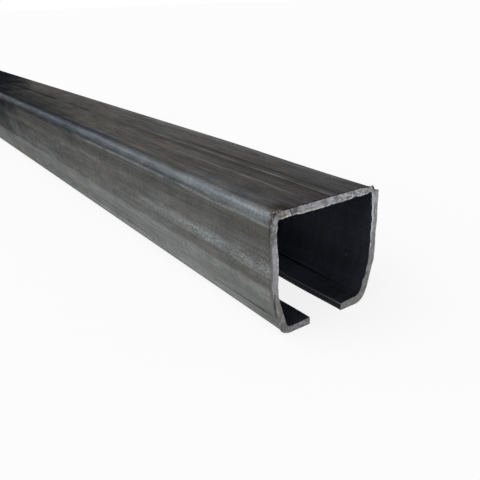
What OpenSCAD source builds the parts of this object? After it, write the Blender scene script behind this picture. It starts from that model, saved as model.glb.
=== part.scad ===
// Cantilever gate rail: one bar of black mild steel strip, roll-formed to a C channel
// with its slot at the bottom. The gate frame is welded to the top face, and the roller
// carriages on the foundation run inside the channel, on the lips beside the slot.
// X runs along the bar, Y across it and Z up. The origin is at mid length, on the centre
// line of the slot, at the level of the underside of the lips.

/* [Bar] */
// Length of the bar, cut square at both ends
rail_length = 1000; // [250:50:6000]
// Width over the outside of the upright walls
rail_width = 70; // [60:1:100]
// Height from the underside of the lips to the top face
rail_height = 66; // [50:1:100]
// Thickness of the strip, the same all round the section
wall = 4; // [2:0.5:6]
// Clear width of the slot between the two lips
slot_width = 22; // [14:1:34]

/* [Bends] */
// Inside radius of the two bends at the edges of the top face
top_bend_radius = 2; // [1:0.5:8]
// Height of the crease on the outside, below which the walls lean in
crease_height = 24; // [17:1:30]
// Distance that each wall leans in, from the crease down to the underside of the lips
lean_in = 7; // [2:0.5:12]
// Inside radius of the gentle bends at the crease
crease_bend_radius = 24; // [10:1:40]
// Inside radius of the two bends between the lower walls and the lips
lip_bend_radius = 3; // [1:0.5:8]

/* [Hidden] */
$fn = 180;

// Outside radius of each bend, which the wall goes round
top_bend_outside = top_bend_radius + wall;
crease_bend_outside = crease_bend_radius + wall;
lip_bend_outside = lip_bend_radius + wall;

// Angle of the lower walls from upright, and the angle left for the lip bends, so that
// the lips lie level
lean_angle = atan(lean_in / crease_height);
lip_angle = 90 - lean_angle;

// Length of the outside face that each bend takes from the flats on either side of it
function bend_setback(outside_radius, angle) = outside_radius * tan(angle / 2);
crease_setback = bend_setback(crease_bend_outside, lean_angle);
lip_setback = bend_setback(lip_bend_outside, lip_angle);

// Lengths of the flats on one side of the centre line, from the top face to the lip
top_flat = rail_width / 2 - top_bend_outside;
upright_flat = rail_height - top_bend_outside - crease_height - crease_setback;
lower_flat = crease_height / cos(lean_angle) - crease_setback - lip_setback;
lip_flat = rail_width / 2 - lean_in - lip_setback - slot_width / 2;

// One side of the section as the rolls form it: a flat, then the inside radius and the
// angle of the bend that follows it. The lip ends at the slot, with no bend.
half_section_steps = [
    [top_flat, top_bend_radius, 90],
    [upright_flat, crease_bend_radius, lean_angle],
    [lower_flat, lip_bend_radius, lip_angle],
    [lip_flat, 0, 0],
];

// Bend that turns right from the Y axis, about a centre at the origin. Its children carry
// on from the far end of the bend, with the turned axis as their own Y axis.
module bend(inside_radius, angle) {
    outside_radius = inside_radius + wall;
    reach = 2 * outside_radius;
    intersection() {
        difference() {
            circle(r = outside_radius);
            circle(r = inside_radius);
        }
        translate([0, -reach]) square(2 * reach);
        rotate(-angle) translate([-2 * reach, -reach]) square(2 * reach);
    }
    rotate(-angle) children();
}

// Strip from the given step on, laid along the X axis with its inside face on that axis
module formed_strip(steps, first = 0) {
    flat_length = steps[first][0];
    inside_radius = steps[first][1];
    square([flat_length, wall]);
    if (first < len(steps) - 1)
        translate([flat_length, -inside_radius])
            bend(inside_radius, steps[first][2])
                translate([0, inside_radius]) formed_strip(steps, first + 1);
}

// Both sides of the section, in the plane of Y and Z
module section() {
    for (side = [0, 1])
        mirror([side, 0])
            translate([0, rail_height - wall]) formed_strip(half_section_steps);
}

module rail() {
    color("dimgray")
        rotate([90, 0, 90]) linear_extrude(height = rail_length, center = true) section();
}

rail();
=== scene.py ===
import math

import bpy
from mathutils import Matrix, Vector


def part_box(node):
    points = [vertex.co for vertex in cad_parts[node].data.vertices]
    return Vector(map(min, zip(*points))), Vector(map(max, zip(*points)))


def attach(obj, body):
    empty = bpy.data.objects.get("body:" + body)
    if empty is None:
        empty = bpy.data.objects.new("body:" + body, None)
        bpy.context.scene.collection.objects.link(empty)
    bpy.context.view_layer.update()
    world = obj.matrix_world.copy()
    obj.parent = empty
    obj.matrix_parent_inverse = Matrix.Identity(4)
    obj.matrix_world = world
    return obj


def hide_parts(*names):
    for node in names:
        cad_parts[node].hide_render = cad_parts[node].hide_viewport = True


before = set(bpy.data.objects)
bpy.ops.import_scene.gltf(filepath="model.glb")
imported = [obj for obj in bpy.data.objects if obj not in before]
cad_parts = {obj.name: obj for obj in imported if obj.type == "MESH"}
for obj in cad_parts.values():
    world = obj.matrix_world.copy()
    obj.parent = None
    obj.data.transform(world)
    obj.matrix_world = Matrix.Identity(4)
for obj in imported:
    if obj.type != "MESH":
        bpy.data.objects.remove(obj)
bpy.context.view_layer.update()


# The viewpoint: the bar lies on its lips, seen from above its near end and a little to the left,
# so that its long side runs away to the left and the open channel faces the viewer.
camera_place = Vector((0.6822, -0.17615, 0.15427))
camera_swing = math.radians(55.714)
camera_tilt = math.radians(66.564)
camera_roll = math.radians(-2.01)

camera_data = bpy.data.cameras.new("photo_view")
camera_data.lens = 41.474
camera_data.sensor_width = 36.0
camera_data.clip_start = 0.01
camera = bpy.data.objects.new("photo_view", camera_data)
camera_turn = (
    Matrix.Rotation(camera_swing, 4, "Z")
    @ Matrix.Rotation(camera_tilt, 4, "X")
    @ Matrix.Rotation(camera_roll, 4, "Z")
)
camera.matrix_world = Matrix.Translation(camera_place) @ camera_turn
bpy.context.collection.objects.link(camera)
bpy.context.scene.camera = camera


# The rail: one strip of hot-rolled mild steel, left black with its mill scale, that a row of rolls
# has folded along six lines to a C channel with its slot at the bottom. The near end was cut by
# hand with a disc, which left a ragged edge with burrs, and the far end is a plain saw cut.
rail_low, rail_high = (Vector(corner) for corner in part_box("rail"))
rail_length, rail_width, rail_height = rail_high - rail_low
wall = 0.004
slot_width = 0.022
crease_height = 0.024
lean_in = 0.007
top_bend_radius = 0.002
crease_bend_radius = 0.024
lip_bend_radius = 0.003


class Wiring:
    """A node tree as it is wired up: each method adds nodes and gives the output to go on from."""

    def __init__(self, tree):
        self.tree = tree

    def node(self, kind, **settings):
        """New node with its properties set."""
        node = self.tree.nodes.new(kind)
        for name, value in settings.items():
            setattr(node, name, value)
        return node

    def feed(self, socket, value):
        """Links an output to the socket, or sets the socket to a plain value."""
        if isinstance(value, bpy.types.NodeSocket):
            self.tree.links.new(value, socket)
        else:
            socket.default_value = value

    def wire(self, kind, values, **settings):
        """New node with its named or numbered inputs fed."""
        node = self.node(kind, **settings)
        for name, value in values.items():
            self.feed(node.inputs[name], value)
        return node

    def calc(self, operation, *values):
        """Operation on outputs and numbers."""
        return self.wire("ShaderNodeMath", dict(enumerate(values)), operation=operation).outputs[0]

    def chain(self, operation, values):
        """Operation on the first two values, then on its result and each further value."""
        result = values[0]
        for value in values[1:]:
            result = self.calc(operation, result, value)
        return result

    def plus(self, *values):
        """Sum of outputs and numbers."""
        return self.chain("ADD", values)

    def times(self, *values):
        """Product of outputs and numbers."""
        return self.chain("MULTIPLY", values)

    def largest(self, *values):
        """Largest of outputs and numbers."""
        return self.chain("MAXIMUM", values)

    def minus(self, first, second):
        """Difference of two outputs or numbers."""
        return self.calc("SUBTRACT", first, second)

    def size_of(self, value):
        """Value without its sign."""
        return self.calc("ABSOLUTE", value)

    def vector_calc(self, operation, *values):
        """Operation on vectors."""
        return self.wire("ShaderNodeVectorMath", dict(enumerate(values)), operation=operation).outputs[0]

    def vector(self, x=0.0, y=0.0, z=0.0):
        """Vector of three outputs or numbers."""
        return self.wire("ShaderNodeCombineXYZ", {"X": x, "Y": y, "Z": z}).outputs[0]

    def axes(self, vector):
        """The three parts of a vector."""
        return self.wire("ShaderNodeSeparateXYZ", {0: vector}).outputs

    def ease(self, value, low, high, start=0.0, end=1.0):
        """Goes smoothly from start to end while the value goes from low to high."""
        inputs = {"Value": value, "From Min": low, "From Max": high, "To Min": start, "To Max": end}
        return self.wire("ShaderNodeMapRange", inputs, interpolation_type="SMOOTHSTEP").outputs[0]

    def hump(self, value, centre, reach):
        """1 where the value is at the centre, easing to 0 at the reach on either side."""
        return self.ease(self.size_of(self.minus(value, centre)), 0.0, reach, 1.0, 0.0)

    def noise(self, vector, scale, detail=2.0, seed=0.0, roughness=0.55):
        """Smooth random value around 0.5, with the given number of grains to the metre."""
        inputs = {"Vector": vector, "Scale": scale, "Detail": detail, "W": seed, "Roughness": roughness}
        return self.wire("ShaderNodeTexNoise", inputs, noise_dimensions="4D").outputs[0]

    def drawn_noise(self, place, drawn_out, scale, detail, seed, roughness=0.55):
        """Noise whose grains are drawn out along an axis where the factor is below 1."""
        return self.noise(self.vector_calc("MULTIPLY", place, drawn_out), scale, detail, seed, roughness)


# Fold lines of the strip's middle layer on one side, from the slot to the top: y, z and the
# radius of the fold there
lean_angle = math.atan2(lean_in, crease_height)
half_wall = wall / 2
lip_fold_y = rail_width / 2 - lean_in - half_wall * math.cos(lean_angle) / (1 + math.sin(lean_angle))
crease_fold_z = crease_height + half_wall * math.tan(lean_angle / 2)
side_folds = [
    (slot_width / 2, half_wall, 0.0),
    (lip_fold_y, half_wall, lip_bend_radius + half_wall),
    (rail_width / 2 - half_wall, crease_fold_z, crease_bend_radius + half_wall),
    (rail_width / 2 - half_wall, rail_height - half_wall, top_bend_radius + half_wall),
]
all_folds = [(-y, z, radius) for y, z, radius in side_folds] + side_folds[::-1]

fold_mesh = bpy.data.meshes.new("fold_lines")
fold_mesh.from_pydata(
    [(0.0, y, z) for y, z, radius in all_folds],
    [(number, number + 1) for number in range(len(all_folds) - 1)],
    [],
)
fold_radii = fold_mesh.attributes.new("bend_radius", "FLOAT", "POINT")
fold_radii.data.foreach_set("value", [radius for y, z, radius in all_folds])
formed_rail = bpy.data.objects.new("formed_rail", fold_mesh)
bpy.context.collection.objects.link(formed_rail)

# Forming: a flat strip is marked with its own coordinates, roughened at the near end and bent
forming = bpy.data.node_groups.new("Roll forming", "GeometryNodeTree")
forming.is_modifier = True
forming.interface.new_socket(name="Fold lines", in_out="INPUT", socket_type="NodeSocketGeometry")
forming_inputs = {}
for name, kind in (
    ("Length", "NodeSocketFloat"),
    ("Wall", "NodeSocketFloat"),
    ("Lip spring", "NodeSocketFloat"),
    ("Wall spring", "NodeSocketFloat"),
    ("Cut waver", "NodeSocketFloat"),
    ("Inner burr", "NodeSocketFloat"),
    ("Outer burr", "NodeSocketFloat"),
    ("Flattening", "NodeSocketFloat"),
    ("Seed", "NodeSocketFloat"),
    ("Outer skin", "NodeSocketMaterial"),
    ("Inner skin", "NodeSocketMaterial"),
    ("Slit edge", "NodeSocketMaterial"),
    ("Cut end", "NodeSocketMaterial"),
):
    forming_inputs[name] = forming.interface.new_socket(name=name, in_out="INPUT", socket_type=kind)
forming.interface.new_socket(name="Rail", in_out="OUTPUT", socket_type="NodeSocketGeometry")
shop = Wiring(forming)
given = shop.node("NodeGroupInput").outputs

# The bent middle line that the strip follows
bend_steps = 24
bend_radius = shop.wire("GeometryNodeInputNamedAttribute", {"Name": "bend_radius"}, data_type="FLOAT")
folds = shop.wire("GeometryNodeMeshToCurve", {"Mesh": given["Fold lines"]})
bent_line = shop.wire(
    "GeometryNodeFilletCurve",
    {"Curve": folds.outputs["Curve"], "Count": bend_steps, "Radius": bend_radius.outputs["Attribute"]},
    mode="POLY",
).outputs["Curve"]
strip_width = shop.wire("GeometryNodeCurveLength", {"Curve": bent_line}).outputs["Length"]

# The flat strip at its real size, with its stations along the bar crowded towards the ends
crowding = 6.0
points_along = 84
points_across = 400
points_through = 8
flat_strip = shop.wire(
    "GeometryNodeMeshCube",
    {
        "Size": shop.vector(given["Length"], strip_width, given["Wall"]),
        "Vertices X": points_along,
        "Vertices Y": points_across,
        "Vertices Z": points_through,
    },
)
here = shop.node("GeometryNodeInputPosition").outputs[0]
along, across, through = shop.axes(here)
half_length = shop.times(given["Length"], 0.5)
to_middle = shop.minus(1.0, shop.calc("DIVIDE", shop.size_of(along), half_length))
growth = shop.minus(shop.calc("EXPONENT", shop.times(to_middle, crowding)), 1.0)
from_end = shop.calc("DIVIDE", growth, math.exp(crowding) - 1)
crowded_along = shop.times(half_length, shop.minus(1.0, from_end), shop.calc("SIGN", along))
crowded_strip = shop.wire(
    "GeometryNodeSetPosition",
    {"Geometry": flat_strip.outputs["Mesh"], "Position": shop.vector(crowded_along, across, through)},
)
marked_strip = shop.wire(
    "GeometryNodeStoreNamedAttribute",
    {"Geometry": crowded_strip.outputs["Geometry"], "Name": "strip_place", "Value": here},
    data_type="FLOAT_VECTOR",
    domain="POINT",
)

# The ragged cut: the face wavers along the bar, and its edges in and out, less at the lips. It
# fades within a few millimetres of the end.
cut_fade = 0.0016
end_gap = shop.minus(half_length, along)
off_centre = shop.size_of(across)
outwards = shop.calc("DIVIDE", through, shop.times(given["Wall"], 0.5))
outer_share = shop.plus(0.5, shop.times(outwards, 0.5))
inner_share = shop.minus(1.0, outer_share)
near_cut = shop.calc("EXPONENT", shop.calc("DIVIDE", end_gap, -cut_fade))
ragged = shop.times(near_cut, shop.ease(off_centre, 0.078, 0.094, 1.0, 0.15))


def wander(pattern, scale, detail, seed_step):
    """Random value from about -1 to 1 on the cut."""
    value = shop.noise(pattern, scale, detail, shop.plus(given["Seed"], seed_step), 0.6)
    return shop.times(shop.minus(value, 0.5), 3.0)


on_face = shop.vector(across, through)
on_edge = shop.vector(across)
rounding = shop.calc("POWER", shop.size_of(outwards), 6.0)
long_waver = wander(on_face, 170.0, 1.0, 0.0)
fine_waver = shop.times(wander(on_face, 900.0, 2.0, 3.0), 0.35)
face_shift = shop.minus(shop.plus(long_waver, fine_waver), shop.plus(rounding, 0.6))
face_shift = shop.times(face_shift, given["Cut waver"], ragged)

torn_corner = shop.hump(across, -0.0305, 0.0075)
inner_wave = shop.times(wander(on_edge, 130.0, 3.0, 7.0), given["Inner burr"], inner_share)
outer_wave = shop.times(wander(on_edge, 420.0, 2.0, 11.0), given["Outer burr"], outer_share)
outer_wave = shop.times(outer_wave, shop.plus(1.0, shop.times(torn_corner, 1.6)))

# Burrs and nicks that stand out: place across the strip, height on the outer edge, height on the
# inner edge and reach
edge_marks = [
    (-0.0315, 0.0009, 0.0, 0.0050),
    (-0.0298, 0.0005, 0.0, 0.0012),
    (-0.0343, -0.0005, 0.0, 0.0010),
    (0.0303, 0.0013, 0.0, 0.0018),
    (0.0324, -0.0009, 0.0, 0.0010),
    (0.0337, 0.0009, 0.0, 0.0011),
    (-0.0990, 0.0, 0.0006, 0.0110),
    (-0.0915, 0.0006, 0.0, 0.0045),
    (-0.0695, 0.0, -0.0006, 0.0075),
    (-0.0570, -0.0003, -0.0010, 0.0130),
    (-0.0410, 0.0, 0.0002, 0.0045),
    (-0.0360, 0.0, -0.0003, 0.0030),
    (-0.0303, 0.0, 0.0004, 0.0025),
    (-0.0385, -0.0005, 0.0, 0.0080),
    (-0.0240, 0.0, 0.0006, 0.0090),
    (-0.0195, 0.0, 0.0005, 0.0030),
    (0.0190, 0.0, 0.0005, 0.0040),
    (0.0300, 0.0, 0.0010, 0.0036),
    (0.0375, 0.0, -0.0006, 0.0060),
    (0.0480, 0.0, 0.0006, 0.0030),
    (0.0530, 0.0, 0.0003, 0.0040),
    (0.0630, 0.0, 0.0003, 0.0030),
    (0.0798, 0.0, 0.0008, 0.0042),
    (0.0842, 0.0, -0.0006, 0.0028),
    (0.0930, 0.0, -0.0005, 0.0040),
    (0.0990, 0.0, -0.0007, 0.0130),
]
mark_waves = []
for mark_place, outer_height, inner_height, mark_reach in edge_marks:
    heights = shop.plus(shop.times(outer_share, outer_height), shop.times(inner_share, inner_height))
    mark_waves.append(shop.times(shop.hump(across, mark_place, mark_reach), heights))
burr_shift = shop.times(shop.plus(inner_wave, outer_wave), ragged)
burr_shift = shop.plus(burr_shift, shop.times(shop.plus(*mark_waves), near_cut))

# The rolls have flattened the far shoulder of the top over the last stretch
flattened = shop.times(shop.hump(across, 0.0295, 0.0065), shop.ease(along, 0.36, 0.47), outer_share)
depth_shift = shop.minus(burr_shift, shop.times(flattened, given["Flattening"]))
ragged_strip = shop.wire(
    "GeometryNodeSetPosition",
    {"Geometry": marked_strip.outputs["Geometry"], "Offset": shop.vector(face_shift, 0.0, depth_shift)},
)

# Bending: each point goes to its place on the bent line, and out from it by its depth in the wall.
# At the cut the far wall has sprung out a little, and both lips to the far side.
bent_place = shop.wire(
    "GeometryNodeSampleCurve",
    {"Curves": bent_line, "Factor": shop.plus(shop.calc("DIVIDE", across, strip_width), 0.5)},
    mode="FACTOR",
).outputs
skin_side = shop.vector_calc("CROSS_PRODUCT", shop.vector(1.0), bent_place["Tangent"])
skin_side = shop.vector_calc("NORMALIZE", skin_side)
from_line = shop.vector_calc("MULTIPLY", skin_side, shop.vector(through, through, through))
bent_position = shop.vector_calc("ADD", bent_place["Position"], from_line)
spring_reach = 0.035
near_end = shop.ease(end_gap, spring_reach, 0.0)
lip_shift = shop.times(shop.ease(off_centre, 0.095, 0.107), near_end, given["Lip spring"])
on_far_wall = shop.times(shop.ease(across, 0.0295, 0.0350), shop.ease(across, 0.0950, 0.0860))
wall_shift = shop.times(on_far_wall, near_end, given["Wall spring"])
spring = shop.vector(along, shop.plus(lip_shift, wall_shift))
bent_strip = shop.wire(
    "GeometryNodeSetPosition",
    {
        "Geometry": ragged_strip.outputs["Geometry"],
        "Position": shop.vector_calc("ADD", bent_position, spring),
    },
)
bent_shape = bent_strip.outputs["Geometry"]
smooth_strip = shop.wire("GeometryNodeSetShadeSmooth", {"Geometry": bent_shape}, domain="FACE")
finished = shop.wire("GeometryNodeRealizeInstances", {"Geometry": smooth_strip.outputs["Geometry"]})

# Each face of the strip takes its own finish
strip_mark = shop.wire("GeometryNodeInputNamedAttribute", {"Name": "strip_place"}, data_type="FLOAT_VECTOR")
mark_along, mark_across, mark_through = shop.axes(strip_mark.outputs["Attribute"])
almost_half = 0.4999
on_outside = shop.calc("GREATER_THAN", mark_through, shop.times(given["Wall"], almost_half))
on_slit = shop.calc("GREATER_THAN", shop.size_of(mark_across), shop.times(strip_width, almost_half))
on_cut = shop.calc("GREATER_THAN", shop.size_of(mark_along), shop.times(given["Length"], almost_half))
finish_places = {"Inner skin": True, "Outer skin": on_outside, "Slit edge": on_slit, "Cut end": on_cut}
for finish, faces in finish_places.items():
    finished = shop.wire(
        "GeometryNodeSetMaterial",
        {"Geometry": finished.outputs["Geometry"], "Selection": faces, "Material": given[finish]},
    )
shop.wire("NodeGroupOutput", {"Rail": finished.outputs["Geometry"]})

# Rolling marks, on every skin of the strip: streaks and short dashes drawn out along the bar by the
# rolls, wipes across it, clouds of thinner and thicker scale, and the grain of the scale itself
rolling_marks = bpy.data.node_groups.new("Rolling marks", "ShaderNodeTree")
rolling_marks.interface.new_socket(name="Strip place", in_out="INPUT", socket_type="NodeSocketVector")
rolling_marks.interface.new_socket(name="Seed", in_out="INPUT", socket_type="NodeSocketFloat")
mark_kinds = (
    ("Streaks", (0.012, 1.0, 1.0), 260.0, 4.0),
    ("Fine streaks", (0.02, 1.0, 1.0), 1100.0, 3.0),
    ("Dashes", (0.1, 1.0, 1.0), 480.0, 4.0),
    ("Wipes", (1.0, 0.12, 1.0), 330.0, 3.0),
    ("Clouds", (0.5, 1.0, 1.0), 45.0, 4.0),
    ("Grain", (0.8, 1.0, 1.0), 900.0, 3.0),
)
for name, drawn_out, scale, detail in mark_kinds:
    rolling_marks.interface.new_socket(name=name, in_out="OUTPUT", socket_type="NodeSocketFloat")
mill = Wiring(rolling_marks)
mill_given = mill.node("NodeGroupInput").outputs
mill_made = mill.node("NodeGroupOutput")
for name, drawn_out, scale, detail in mark_kinds:
    pattern = mill.drawn_noise(mill_given["Strip place"], drawn_out, scale, detail, mill_given["Seed"])
    mill.feed(mill_made.inputs[name], pattern)


def seen(red, green, blue):
    """Colour as it looks in plain light, from 0 to 255 in each channel."""
    def linear(level):
        level = level / 255
        return level / 12.92 if level <= 0.04045 else ((level + 0.055) / 1.055) ** 2.4
    return (linear(red), linear(green), linear(blue), 1.0)


class Finish(Wiring):
    """A material of the strip, with the strip's own coordinates and the rolling marks on them."""

    def __init__(self, name, gloss, seed):
        self.material = bpy.data.materials.new(name)
        self.material.use_nodes = True
        super().__init__(self.material.node_tree)
        self.shader = self.tree.nodes["Principled BSDF"]
        self.shader.inputs["Specular IOR Level"].default_value = gloss
        self.strip = self.node("ShaderNodeAttribute", attribute_name="strip_place").outputs["Vector"]
        self.along, self.across, self.through = self.axes(self.strip)
        self.off_centre = self.size_of(self.across)
        marks_inputs = {"Strip place": self.strip, "Seed": seed}
        self.marks = self.wire("ShaderNodeGroup", marks_inputs, node_tree=rolling_marks)

    def mark(self, name):
        """One of the rolling marks, around 0.5."""
        return self.marks.outputs[name]

    def set(self, socket, value):
        """Feeds an input of the shader."""
        self.feed(self.shader.inputs[socket], value)

    def paint(self, under, over, mask):
        """Lays a colour over another where the mask is 1."""
        return self.wire("ShaderNodeMix", {0: mask, 6: under, 7: over}, data_type="RGBA").outputs[2]

    def stain(self, under, dye, mask):
        """Dyes a colour where the mask is 1."""
        inputs = {0: mask, 6: under, 7: dye}
        return self.wire("ShaderNodeMix", inputs, data_type="RGBA", blend_type="MULTIPLY").outputs[2]

    def swing(self, value, amount):
        """Factor around 1 from a random value around 0.5."""
        return self.plus(1.0, self.times(self.minus(value, 0.5), amount))

    def shade(self, colour, factor):
        """Makes a colour lighter or darker."""
        return self.wire("ShaderNodeVectorMath", {0: colour, "Scale": factor}, operation="SCALE").outputs[0]

    def relief(self, height, depth):
        """Fine relief of the given depth in metres, from a height of 0 to 1."""
        bump = self.wire("ShaderNodeBump", {"Height": height, "Distance": depth})
        self.set("Normal", bump.outputs["Normal"])


# Outer skin: dull scale on the top, burnished by the rolls at the bends and on the lower walls,
# and rubbed by handling towards the near end. Its colour also holds painted light: a sheen on the
# bend ridges, and shade that darkens the bar towards the far end
skin = Finish("rolled_scale", 0.0, 0.0)
skin.shader.inputs["Specular Tint"].default_value = (0.2, 0.2, 0.2, 1.0)
drift = skin.times(skin.minus(skin.mark("Clouds"), 0.5), 0.2)
near_stretch = skin.plus(skin.along, drift)
# Towards the near end the painted sheen on the bend ridges grows brighter
nearer_sheen = skin.ease(near_stretch, 0.2, 0.44)
on_side = skin.ease(skin.off_centre, 0.0345, 0.0365)

# The top, with a painted sheen along its far edge, and a bluer border beside the near bend that turns
# paler near the cut
to_cut = skin.minus(rail_length / 2, skin.along)
before_cut = skin.ease(to_cut, 0.010, 0.030)
colour = skin.paint(seen(83, 82, 80), seen(74, 73, 73), skin.ease(near_stretch, 0.34, 0.47))
# Painted sheen: the far edge of the top lighter, where its bend catches the white surround
far_edge_sheen = skin.times(skin.ease(skin.across, 0.0200, 0.0275), skin.ease(near_stretch, 0.05, 0.30))
far_edge_sheen = skin.times(far_edge_sheen, before_cut)
colour = skin.paint(colour, seen(105, 105, 105), far_edge_sheen)
blue_border = skin.times(skin.ease(skin.across, -0.0235, -0.0275), skin.ease(near_stretch, 0.42, 0.26))
blue_border = skin.times(blue_border, skin.ease(near_stretch, 0.08, 0.22))
colour = skin.paint(colour, seen(65, 69, 73), blue_border)
# Painted sheen: near the cut the bend's highlight spreads paler onto the top beside it
near_cut_sheen = skin.times(skin.hump(skin.across, -0.0268, 0.0045), skin.ease(near_stretch, 0.40, 0.47))
colour = skin.paint(colour, seen(88, 89, 91), skin.times(near_cut_sheen, before_cut))
rust_bloom = skin.times(skin.hump(skin.across, -0.0066, 0.006), skin.hump(skin.along, 0.352, 0.035))
colour = skin.paint(colour, seen(92, 81, 73), skin.times(rust_bloom, 0.6))

# The top bends: the rolls burnished a ridge along each, painted lighter as a sheen where the lamp's
# highlight falls, and below it are a dark and a pale band
colour = skin.paint(colour, seen(79, 79, 77), on_side)
pale_band = skin.times(skin.hump(skin.off_centre, 0.0375, 0.0018), skin.ease(near_stretch, 0.15, 0.35))
colour = skin.paint(colour, seen(92, 92, 90), skin.times(pale_band, before_cut))
# Painted shade beside the sheen: the band below the ridge, darker still towards the far end
below_ridge = skin.paint(seen(60, 63, 67), seen(78, 82, 84), skin.ease(skin.along, 0.08, 0.50))
below_ridge = skin.paint(below_ridge, seen(94, 95, 96), skin.ease(skin.across, 0.0, 0.01, 0.0, 0.8))
colour = skin.paint(colour, below_ridge, skin.hump(skin.off_centre, 0.0345, 0.0024))
# Painted sheen: the lighter ridge sits where the lamp's highlight falls and shifts along the bar with it
sheen_place = skin.ease(skin.along, 0.10, 0.50, 0.0312, 0.0320)
sheen_reach = skin.ease(skin.along, 0.42, 0.50, 0.0027, 0.0029)
burnish_and_sheen = skin.hump(skin.off_centre, sheen_place, sheen_reach)
ridge_sheen_colour = skin.paint(seen(92, 98, 105), seen(114, 119, 123), nearer_sheen)
# Frosted speckle in the painted sheen near the cut
sheen_frost = skin.times(skin.ease(skin.mark("Grain"), 0.46, 0.68), skin.ease(near_stretch, 0.38, 0.48))
ridge_sheen_colour = skin.paint(ridge_sheen_colour, seen(144, 150, 154), skin.times(sheen_frost, 0.30))
colour = skin.paint(colour, ridge_sheen_colour, burnish_and_sheen)

# The sides: the upright with its rubbed band and rusty band, the lower wall and the lip bend
colour = skin.paint(colour, seen(91, 91, 90), skin.ease(skin.off_centre, 0.0405, 0.0475))
colour = skin.paint(colour, seen(96, 97, 96), skin.ease(skin.off_centre, 0.058, 0.064))
band_place = skin.ease(near_stretch, 0.33, 0.44, 0.0605, 0.0577)
band_place = skin.plus(band_place, skin.ease(skin.along, 0.470, 0.490, 0.0, 0.0007))
rubbed_band = skin.times(skin.hump(skin.off_centre, band_place, 0.0064), skin.ease(near_stretch, 0.31, 0.44))
least_rubbed = skin.ease(near_stretch, 0.38, 0.46, 0.7, 0.3)
most_rubbed = skin.ease(near_stretch, 0.38, 0.46, 0.8, 1.0)
rubbed_grain = skin.ease(skin.mark("Grain"), 0.24, 0.68, least_rubbed, most_rubbed)
rubbed_band = skin.times(rubbed_band, rubbed_grain)
band_patches = skin.drawn_noise(skin.strip, (0.25, 1.0, 1.0), 300.0, 3.0, 47.0)
rubbed_band = skin.times(rubbed_band, skin.ease(band_patches, 0.36, 0.58, 0.5, 1.0))
colour = skin.paint(colour, seen(136, 139, 139), rubbed_band)
rusty_band = skin.times(skin.hump(skin.off_centre, 0.0645, 0.0038), skin.ease(near_stretch, 0.20, 0.40))
rust_patches = skin.drawn_noise(skin.strip, (0.4, 1.0, 1.0), 210.0, 3.0, 43.0)
rusty_band = skin.times(rusty_band, skin.ease(rust_patches, 0.40, 0.62))
colour = skin.paint(colour, seen(93, 91, 88), rusty_band)
# Lower wall and lip bend painted paler: partly burnished scale, partly painted light from the white floor
colour = skin.paint(colour, seen(115, 117, 116), skin.ease(skin.off_centre, 0.0668, 0.0695))
pale_foot = skin.times(skin.ease(skin.off_centre, 0.076, 0.086), skin.ease(near_stretch, 0.25, 0.33))
colour = skin.paint(colour, seen(129, 131, 130), skin.times(pale_foot, before_cut, 0.8))
colour = skin.paint(colour, seen(130, 131, 130), skin.ease(skin.off_centre, 0.0885, 0.0930))

# Single lines that the rolls and the mill left, and one line of painted shade, each of one of these kinds:
# place across the strip, half width, and first and last place along the bar
rubbed_mark = seen(112, 113, 113)
light_mark = seen(99, 99, 97)
rusty_mark = seen(91, 89, 86)
dull_mark = seen(84, 83, 82)
brown_mark = seen(79, 75, 71)
faint_mark = seen(70, 69, 67)
sheen_edge_shade = seen(63, 67, 72)
dark_mark = seen(57, 56, 55)
black_mark = seen(42, 42, 41)
mill_lines = [
    (rubbed_mark, -0.0355, 0.0013, 0.22, 0.6),
    (rubbed_mark, 0.0355, 0.0013, 0.22, 0.6),
    (brown_mark, -0.0374, 0.0006, 0.20, 0.46),
    (brown_mark, 0.0374, 0.0006, 0.20, 0.46),
    # Painted shade on the top just above the near bend, bordering the painted sheen
    (sheen_edge_shade, -0.0281, 0.0014, -0.6, 0.38),
    (faint_mark, 0.0005, 0.0042, -0.6, 0.6),
    (black_mark, 0.0023, 0.0030, -0.6, 0.10),
    (dark_mark, 0.0030, 0.0026, 0.09, 0.19),
    (dark_mark, 0.0027, 0.0011, 0.33, 0.6),
    (light_mark, 0.0045, 0.0014, 0.26, 0.6),
    (dark_mark, 0.0092, 0.0020, 0.33, 0.6),
    (light_mark, -0.0085, 0.0010, 0.36, 0.49),
    (dull_mark, -0.0155, 0.0050, 0.38, 0.6),
    (light_mark, -0.0475, 0.0030, 0.17, 0.31),
    (dull_mark, -0.0510, 0.0032, 0.29, 0.385),
    (rusty_mark, -0.0626, 0.0010, 0.30, 0.6),
    (rusty_mark, -0.0662, 0.0012, 0.36, 0.6),
    (black_mark, -0.0850, 0.0016, 0.435, 0.502),
    (dull_mark, -0.0850, 0.0010, 0.19, 0.37),
]
fade_in = 0.06
fade_out = 0.02
for line_colour, line_place, line_reach, line_start, line_end in mill_lines:
    line = skin.hump(skin.across, line_place, line_reach)
    line = skin.times(line, skin.ease(skin.along, line_start, line_start + fade_in))
    line = skin.times(line, skin.ease(skin.along, line_end, line_end - fade_out))
    line = skin.times(line, skin.ease(skin.mark("Dashes"), 0.34, 0.56, 0.45, 1.0))
    colour = skin.paint(colour, line_colour, line)

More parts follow.
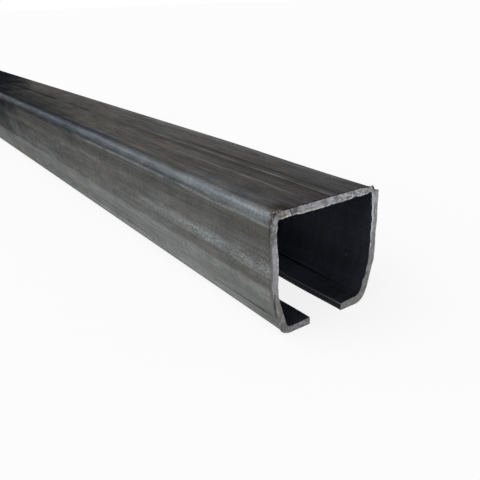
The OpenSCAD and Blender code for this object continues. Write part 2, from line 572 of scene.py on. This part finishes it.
# Painted shade: the bar darkens to blue-black towards the far end, thin on the top beyond a slanting
# border, full past the middle of the bar, and on the sides further back. Towards the far end this painted
# shade is broken up in patches and eased off.
border = skin.plus(near_stretch, skin.times(skin.largest(skin.across, -0.031), 14.0))
far_shade_top = skin.times(skin.ease(border, 0.33, -0.34), skin.ease(near_stretch, 0.27, 0.15))
far_shade_top = skin.times(far_shade_top, skin.ease(skin.off_centre, 0.029, 0.0315, 0.75, 0.1))
full_border = skin.plus(near_stretch, skin.times(skin.across, 3.3))
full_far_shade_top = skin.times(skin.ease(full_border, 0.07, -0.11), skin.ease(skin.across, -0.0315, -0.029))
full_far_shade_top = skin.times(full_far_shade_top, skin.ease(skin.across, 0.035, 0.0315, 0.15, 0.93))
full_far_shade_top = skin.times(full_far_shade_top, skin.ease(skin.across, -0.030, -0.015, 0.95, 1.0))
far_shade_top = skin.largest(far_shade_top, full_far_shade_top)
far_shade_side = skin.times(skin.ease(skin.off_centre, 0.033, 0.036), skin.ease(skin.off_centre, 0.076, 0.064))
side_share = skin.ease(skin.off_centre, 0.037, 0.046, 0.86, 0.58)
side_share = skin.plus(side_share, skin.times(skin.hump(skin.off_centre, 0.051, 0.012), 0.11))
far_shade_side = skin.times(far_shade_side, side_share)
far_shade = skin.largest(far_shade_top, skin.times(far_shade_side, skin.ease(near_stretch, 0.13, 0.0)))
shade_breaks = skin.drawn_noise(skin.strip, (0.3, 1.0, 1.0), 22.0, 3.0, 41.0)
shade_breaks = skin.times(skin.ease(shade_breaks, 0.44, 0.60), skin.ease(skin.along, -0.20, -0.36))
far_shade = skin.times(far_shade, skin.minus(1.0, skin.times(shade_breaks, 0.75)))
far_shade = skin.times(far_shade, skin.ease(skin.along, -0.28, -0.46, 1.0, 0.6))
colour = skin.paint(colour, seen(20, 23, 28), far_shade)

# Faint rust and tempering tints, the rolling marks, with less grain on the burnished ridges and their
# painted sheen, and a browner last stretch before the cut
tinge = skin.drawn_noise(skin.strip, (0.25, 1.0, 1.0), 60.0, 3.0, 31.0)
colour = skin.stain(colour, (1.0, 0.965, 0.92, 1.0), skin.ease(tinge, 0.52, 0.7))
colour = skin.stain(colour, (0.95, 0.98, 1.0, 1.0), skin.ease(tinge, 0.45, 0.3))
mark_amounts = (
    ("Streaks", 1.4, 0.8),
    ("Fine streaks", 0.7, 0.4),
    ("Dashes", 1.4, 0.9),
    ("Wipes", 0.1, 0.4),
    ("Clouds", 0.8, 0.7),
    ("Grain", 1.1, 1.0),
)
for name, top_amount, side_amount in mark_amounts:
    amount = skin.plus(top_amount, skin.times(on_side, side_amount - top_amount))
    if name == "Grain":
        amount = skin.times(amount, skin.ease(burnish_and_sheen, 0.0, 1.0, 1.0, 0.4))
    colour = skin.shade(colour, skin.swing(skin.mark(name), amount))
last_stretch = skin.times(on_side, skin.ease(to_cut, 0.030, 0.004))
last_stretch = skin.times(last_stretch, skin.ease(skin.off_centre, 0.070, 0.086, 0.4, 1.0))
colour = skin.stain(colour, (0.90, 0.885, 0.86, 1.0), last_stretch)

# Scorched by the cut, most at the near top corner, with a faint heat tint on the top beside it. Right
# at the cut runs a dark line, partly scorch and partly painted shade behind the burr, and at the near top
# corner a dark patch with pale flecks. Low on the near wall a crack of the cut comes out.
heat_tint = skin.times(skin.ease(to_cut, 0.017, 0.006), skin.ease(skin.across, 0.006, -0.006))
heat_tint = skin.times(heat_tint, skin.ease(skin.across, -0.028, -0.023))
colour = skin.stain(colour, (0.80, 0.77, 0.80, 1.0), heat_tint)
# Painted shade behind the burr, mixed with scorch, darkens a thin line along the cut
scorch_and_shade_share = skin.ease(skin.off_centre, 0.03, 0.05, 0.8, 0.25)
scorch_and_burr_shade = skin.times(skin.ease(to_cut, 0.0024, 0.0004), scorch_and_shade_share)
colour = skin.stain(colour, (0.28, 0.26, 0.24, 1.0), scorch_and_burr_shade)
crack_end = skin.times(skin.hump(skin.across, -0.0825, 0.0030), skin.ease(to_cut, 0.0020, 0.0005))
colour = skin.paint(colour, seen(46, 43, 39), crack_end)
corner_scorch = skin.times(skin.hump(skin.across, -0.0255, 0.0090), skin.ease(to_cut, 0.014, 0.005))
colour = skin.stain(colour, (0.50, 0.49, 0.38, 1.0), corner_scorch)
# A dark patch with pale flecks at the near top corner, just behind the cut
patch_wander = skin.plus(to_cut, skin.times(skin.minus(skin.mark("Grain"), 0.5), 0.008))
dark_corner_patch = skin.times(skin.hump(skin.across, -0.0297, 0.0055), skin.ease(patch_wander, 0.0042, 0.0022))
colour = skin.paint(colour, seen(50, 46, 43), dark_corner_patch)
fleck_noise = skin.noise(skin.strip, 1300.0, 2.0, 37.0)
colour = skin.paint(colour, seen(196, 193, 188), skin.times(dark_corner_patch, skin.ease(fleck_noise, 0.56, 0.64)))
skin.set("Base Color", colour)
polish = skin.ease(burnish_and_sheen, 0.0, 1.0, 0.6, 0.45)
skin.set("Roughness", skin.times(skin.swing(skin.mark("Streaks"), 0.5), polish))
skin.set("Metallic", skin.plus(skin.times(burnish_and_sheen, 0.25), skin.times(on_side, 0.2)))
skin.relief(skin.plus(skin.mark("Fine streaks"), skin.mark("Grain")), 0.00012)

# Inner skin: unrubbed blue-black scale, with painted shade near the open ends and painted light deeper
# inside and most on the lips, a roll line above each lip whose dark part is partly painted shade in the
# lip's crease, fading before the cut, and a light speck on the far wall
lining = Finish("inner_scale", 0.1, 13.0)
from_middle = lining.size_of(lining.along)
colour = lining.paint(seen(52, 58, 68), seen(60, 63, 72), lining.mark("Clouds"))
line_share = lining.ease(from_middle, 0.490, 0.450, 0.2, 1.0)
pale_line = lining.times(lining.hump(lining.off_centre, 0.0905, 0.0012), line_share)
colour = lining.paint(colour, seen(84, 87, 95), pale_line)
# The dark line lies in the lip's crease: partly a roll line, partly painted shade there
dark_line = lining.times(lining.hump(lining.off_centre, 0.0925, 0.0013), line_share)
colour = lining.paint(colour, seen(24, 25, 30), dark_line)
on_lip = lining.ease(lining.off_centre, 0.094, 0.097)
colour = lining.paint(colour, seen(54, 57, 65), on_lip)
speck = lining.times(lining.hump(lining.across, 0.0743, 0.0009), lining.hump(lining.along, 0.4838, 0.0013))
colour = lining.paint(colour, seen(100, 102, 106), speck)
for name, amount in (("Streaks", 1.2), ("Wipes", 0.8), ("Grain", 1.0)):
    colour = lining.shade(colour, lining.swing(lining.mark(name), amount))
# Painted shade near the open ends and painted light deeper inside, against the channel's own shade
colour = lining.shade(colour, lining.ease(from_middle, 0.495, 0.445, 0.62, 1.6))
# Painted light on the lips, from a little way in from the ends
lip_painted_light = lining.times(on_lip, lining.ease(from_middle, 0.490, 0.455, -0.05, 0.7))
colour = lining.shade(colour, lining.plus(1.0, lip_painted_light))
# More painted light deeper still inside
colour = lining.shade(colour, lining.ease(from_middle, 0.40, 0.15, 1.0, 2.0))
lining.set("Base Color", colour)
lining.set("Roughness", lining.times(lining.swing(lining.mark("Fine streaks"), 0.6), 0.55))
lining.relief(lining.mark("Grain"), 0.0001)

# Slit edge beside the slot: sheared when the strip was slit, with a bright upper corner
slit = Finish("slit_edge", 0.1, 17.0)
colour = slit.paint(seen(31, 32, 34), seen(118, 119, 122), slit.ease(slit.through, -0.0010, -0.0016))
colour = slit.paint(colour, seen(58, 59, 60), slit.hump(slit.through, 0.0012, 0.0005))
colour = slit.shade(colour, slit.swing(slit.mark("Fine streaks"), 0.9))
slit.set("Base Color", colour)
slit.set("Roughness", slit.times(slit.swing(slit.mark("Grain"), 0.6), 0.6))
slit.relief(slit.mark("Fine streaks"), 0.0001)

# Cut end: bare steel, dragged and smeared by the disc, with tempering tints. The near wall has a
# smooth stretch, and the lips are plainer.
face = Finish("disc_cut_steel", 0.15, 19.0)
smears = face.drawn_noise(face.strip, (1.0, 0.45, 1.0), 620.0, 4.0, 2.0, 0.6)
drags = face.drawn_noise(face.strip, (1.0, 0.08, 1.0), 1300.0, 3.0, 4.0, 0.6)
blotches = face.noise(face.strip, 260.0, 3.0, 5.0, 0.6)
patches = face.noise(face.strip, 115.0, 2.0, 6.0)
specks = face.noise(face.strip, 1500.0, 3.0, 8.0, 0.65)
colour = face.paint(seen(112, 112, 114), seen(180, 180, 184), face.ease(smears, 0.32, 0.68))
colour = face.shade(colour, face.swing(patches, 0.8))
smooth_steel = face.paint(seen(142, 141, 146), seen(178, 176, 183), face.ease(drags, 0.32, 0.68))
smooth_stretch = face.hump(face.across, -0.0590, 0.0170)
colour = face.paint(colour, smooth_steel, smooth_stretch)

# Tints of the cut, from burnt to smeared bright: place across the strip, reach and share
burnt_steel = seen(93, 90, 91)
dull_steel = seen(109, 109, 111)
tempered_steel = seen(117, 114, 109)
dim_steel = seen(127, 127, 128)
grey_steel = seen(136, 138, 141)
bright_steel = seen(174, 175, 179)
face_tints = [
    (burnt_steel, -0.0920, 0.0070, 0.9),
    (tempered_steel, -0.0835, 0.0060, 0.8),
    (tempered_steel, -0.0790, 0.0050, 0.7),
    (dim_steel, -0.0730, 0.0050, 0.8),
    (bright_steel, -0.0480, 0.0045, 0.6),
    (dull_steel, -0.0405, 0.0050, 0.9),
    (grey_steel, -0.0362, 0.0024, 0.7),
    (bright_steel, -0.0332, 0.0022, 0.6),
    (dull_steel, -0.0298, 0.0022, 0.8),
    (burnt_steel, -0.0205, 0.0032, 0.9),
    (bright_steel, -0.0065, 0.0040, 0.7),
    (bright_steel, 0.0095, 0.0030, 0.6),
    (grey_steel, 0.0180, 0.0022, 0.7),
    (bright_steel, 0.0228, 0.0048, 0.7),
    (bright_steel, 0.0290, 0.0022, 0.7),
    (grey_steel, 0.0328, 0.0022, 0.8),
    (bright_steel, 0.0368, 0.0038, 0.7),
    (grey_steel, 0.0480, 0.0080, 0.8),
    (dim_steel, 0.0600, 0.0080, 0.8),
    (dim_steel, 0.0660, 0.0034, 0.9),
    (dim_steel, 0.0710, 0.0080, 0.8),
    (dim_steel, 0.0810, 0.0070, 0.9),
    (tempered_steel, 0.0885, 0.0070, 0.8),
]
for tint_colour, tint_place, tint_reach, tint_share in face_tints:
    tint = face.times(face.hump(face.across, tint_place, tint_reach), tint_share)
    colour = face.paint(colour, tint_colour, face.times(tint, face.ease(blotches, 0.36, 0.52, 0.6, 1.0)))
plain_lips = face.ease(face.off_centre, 0.086, 0.096, 0.0, 0.65)
colour = face.paint(colour, seen(132, 132, 131), plain_lips)
outer_rim = face.times(face.ease(face.through, 0.0009, 0.0016), face.ease(face.across, -0.034, -0.038))
outer_rim = face.times(outer_rim, face.ease(face.across, -0.092, -0.084))
outer_rim = face.times(outer_rim, face.ease(patches, 0.3, 0.5, 0.6, 1.0))
colour = face.paint(colour, seen(108, 109, 105), outer_rim)
# Painted highlight: a bright line along the inner edge of the cut, where its burr catches the light
near_rim_highlight = face.hump(face.across, -0.021, 0.012)
far_rim_highlight = face.hump(face.across, 0.046, 0.016)
rim_highlight_share = face.largest(face.ease(blotches, 0.46, 0.58), near_rim_highlight, far_rim_highlight)
inner_rim_highlight = face.times(face.ease(face.through, -0.0008, -0.0016), rim_highlight_share, face.ease(plain_lips, 0.5, 0.0))
inner_rim_highlight = face.times(inner_rim_highlight, face.ease(face.across, -0.066, -0.056))
inner_rim_highlight = face.times(inner_rim_highlight, face.ease(face.across, 0.076, 0.066))
colour = face.paint(colour, seen(216, 217, 220), face.times(inner_rim_highlight, 0.9))
colour = face.shade(colour, face.swing(specks, face.ease(smooth_stretch, 0.0, 1.0, 1.9, 0.7)))

# Facets where the disc tore the steel, painted lighter and darker as glints and shade: place across the
# strip, reach and strength. Beside the near corner the heat turned it straw-coloured.
facet_glint_places = [
    (-0.0990, 0.0100, 0.8),
    (-0.0400, 0.0080, 0.6),
    (-0.0275, 0.0050, 0.8),
    (-0.0200, 0.0120, 0.4),
    (0.0155, 0.0160, 1.1),
    (0.0860, 0.0110, 0.5),
]
facet_glints = face.ease(face.noise(face.strip, 620.0, 2.0, 9.0, 0.6), 0.34, 0.66)
facet_glint_strength = 0.15
for facet_place, facet_reach, strength in facet_glint_places:
    torn = face.times(face.hump(face.across, facet_place, facet_reach), strength)
    facet_glint_strength = face.plus(facet_glint_strength, torn)
colour = face.shade(colour, face.swing(facet_glints, facet_glint_strength))
colour = face.stain(colour, (1.0, 0.98, 0.86, 1.0), face.hump(face.across, -0.0275, 0.0050))

# Cracks in the cut: across the top wall near its corner, and between layers of the near wall, slanting
# out to its skin. The torn corners have pits, the far one a notch with painted shadow on the burr's side,
# and the near one dark crumbs.
slant = face.plus(face.across, face.times(face.through, 0.35), face.times(face.minus(smears, 0.5), 0.002))
crack = face.times(face.hump(slant, -0.0228, 0.0007), 0.95)
layer_slant = face.plus(face.through, face.times(face.plus(face.across, 0.0715), 0.178))
layer_wander = face.plus(layer_slant, face.times(face.minus(blotches, 0.5), 0.0010))
layer_crack = face.times(face.hump(layer_wander, 0.0004, 0.0009), face.hump(face.across, -0.0765, 0.0085))
layer_crack = face.times(layer_crack, face.ease(smears, 0.32, 0.44))
near_torn = face.hump(face.across, -0.0312, 0.0055)
far_torn = face.hump(face.across, 0.0318, 0.0030)
torn_corners = face.largest(near_torn, far_torn)
pits = face.times(torn_corners, face.ease(face.through, 0.0002, 0.0014))
pits = face.times(pits, face.ease(specks, 0.52, 0.44))
# Painted shadow on the outer side of the burr at the notch
notch_shadow = face.times(face.hump(face.across, 0.0314, 0.0018), face.ease(face.through, 0.0, 0.0007))
cracks_pits_and_notch_shadow = face.largest(crack, layer_crack, pits, face.times(notch_shadow, 0.95))
colour = face.paint(colour, seen(34, 32, 30), cracks_pits_and_notch_shadow)
crumbs = face.times(face.hump(face.across, -0.0325, 0.0060), face.ease(face.through, 0.0006, 0.0014))
colour = face.paint(colour, seen(54, 50, 45), face.times(crumbs, 0.85))
colour = face.paint(colour, seen(186, 184, 178), face.times(crumbs, face.ease(specks, 0.56, 0.64)))
face.set("Base Color", colour)
face.set("Roughness", face.times(face.swing(smears, 0.6), 0.5))
face.set("Metallic", face.ease(smears, 0.4, 0.7, 0.1, 0.5))
face.relief(face.plus(specks, smears), 0.00025)

# The strip is formed, and the result kept as a plain mesh
forming_values = {
    "Length": rail_length,
    "Wall": wall,
    "Lip spring": 0.0008,
    "Wall spring": 0.0009,
    "Cut waver": 0.0003,
    "Inner burr": 0.0005,
    "Outer burr": 0.00022,
    "Flattening": 0.0010,
    "Seed": 4.0,
    "Outer skin": skin.material,
    "Inner skin": lining.material,
    "Slit edge": slit.material,
    "Cut end": face.material,
}
roll_former = formed_rail.modifiers.new("roll_former", "NODES")
roll_former.node_group = forming
for name, value in forming_values.items():
    roll_former[forming_inputs[name].identifier] = value
depsgraph = bpy.context.evaluated_depsgraph_get()
formed_shape = formed_rail.evaluated_get(depsgraph)
rail_mesh = bpy.data.meshes.new_from_object(formed_shape, preserve_all_data_layers=True, depsgraph=depsgraph)
formed_rail.modifiers.remove(roll_former)
formed_rail.data = rail_mesh
rail_mesh.set_sharp_from_angle(angle=math.radians(40))
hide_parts("rail")
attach(formed_rail, "root")


# The studio: a white floor that runs out of sight, a white surround and one large soft lamp on the
# near left. Floor and surround show white, and the floor keeps the bar's soft shadow.
floor_reach = 40.0
floor_drop = 0.0002
floor_mesh = bpy.data.meshes.new("floor")
floor_sides = [(-1, -1), (1, -1), (1, 1), (-1, 1)]
floor_corners = [(x * floor_reach, y * floor_reach, -floor_drop) for x, y in floor_sides]
floor_mesh.from_pydata(floor_corners, [], [(0, 1, 2, 3)])
floor = bpy.data.objects.new("floor", floor_mesh)
bpy.context.collection.objects.link(floor)


def looked_at(wiring):
    """1 for rays that show the background: to the camera, in gloss or through glass."""
    path = wiring.node("ShaderNodeLightPath").outputs
    return wiring.largest(path["Is Camera Ray"], path["Is Glossy Ray"], path["Is Transmission Ray"])


paper_shown = 0.85
paper = bpy.data.materials.new("white_paper")
paper.use_nodes = True
sheet = Wiring(paper.node_tree)
sheet.tree.nodes.remove(sheet.tree.nodes["Principled BSDF"])
matt_white = sheet.wire("ShaderNodeBsdfDiffuse", {"Color": (0.9, 0.9, 0.9, 1.0)})
plain_white = sheet.node("ShaderNodeEmission")
paper_mix = sheet.wire(
    "ShaderNodeMixShader",
    {0: sheet.times(looked_at(sheet), paper_shown), 1: matt_white.outputs[0], 2: plain_white.outputs[0]},
)
sheet.feed(sheet.tree.nodes["Material Output"].inputs["Surface"], paper_mix.outputs[0])
floor_mesh.materials.append(paper)

surround_light = 0.5
surround = bpy.data.worlds.new("white_surround")
surround.use_nodes = True
sky = Wiring(surround.node_tree)
backdrop = sky.tree.nodes["Background"]
sky.feed(backdrop.inputs["Color"], (1.0, 1.0, 1.0, 1.0))
sky.feed(backdrop.inputs["Strength"], sky.ease(looked_at(sky), 0.0, 1.0, surround_light, 1.0))
bpy.context.scene.world = surround

lamp_side = Vector((-0.35, -0.66, 0.66))
lamp_data = bpy.data.lights.new("soft_lamp", "SUN")
lamp_data.energy = 2.1
lamp_data.angle = math.radians(80)
lamp = bpy.data.objects.new("soft_lamp", lamp_data)
lamp.rotation_euler = lamp_side.to_track_quat("Z", "Y").to_euler()
bpy.context.collection.objects.link(lamp)

bpy.context.scene.view_settings.view_transform = "Standard"
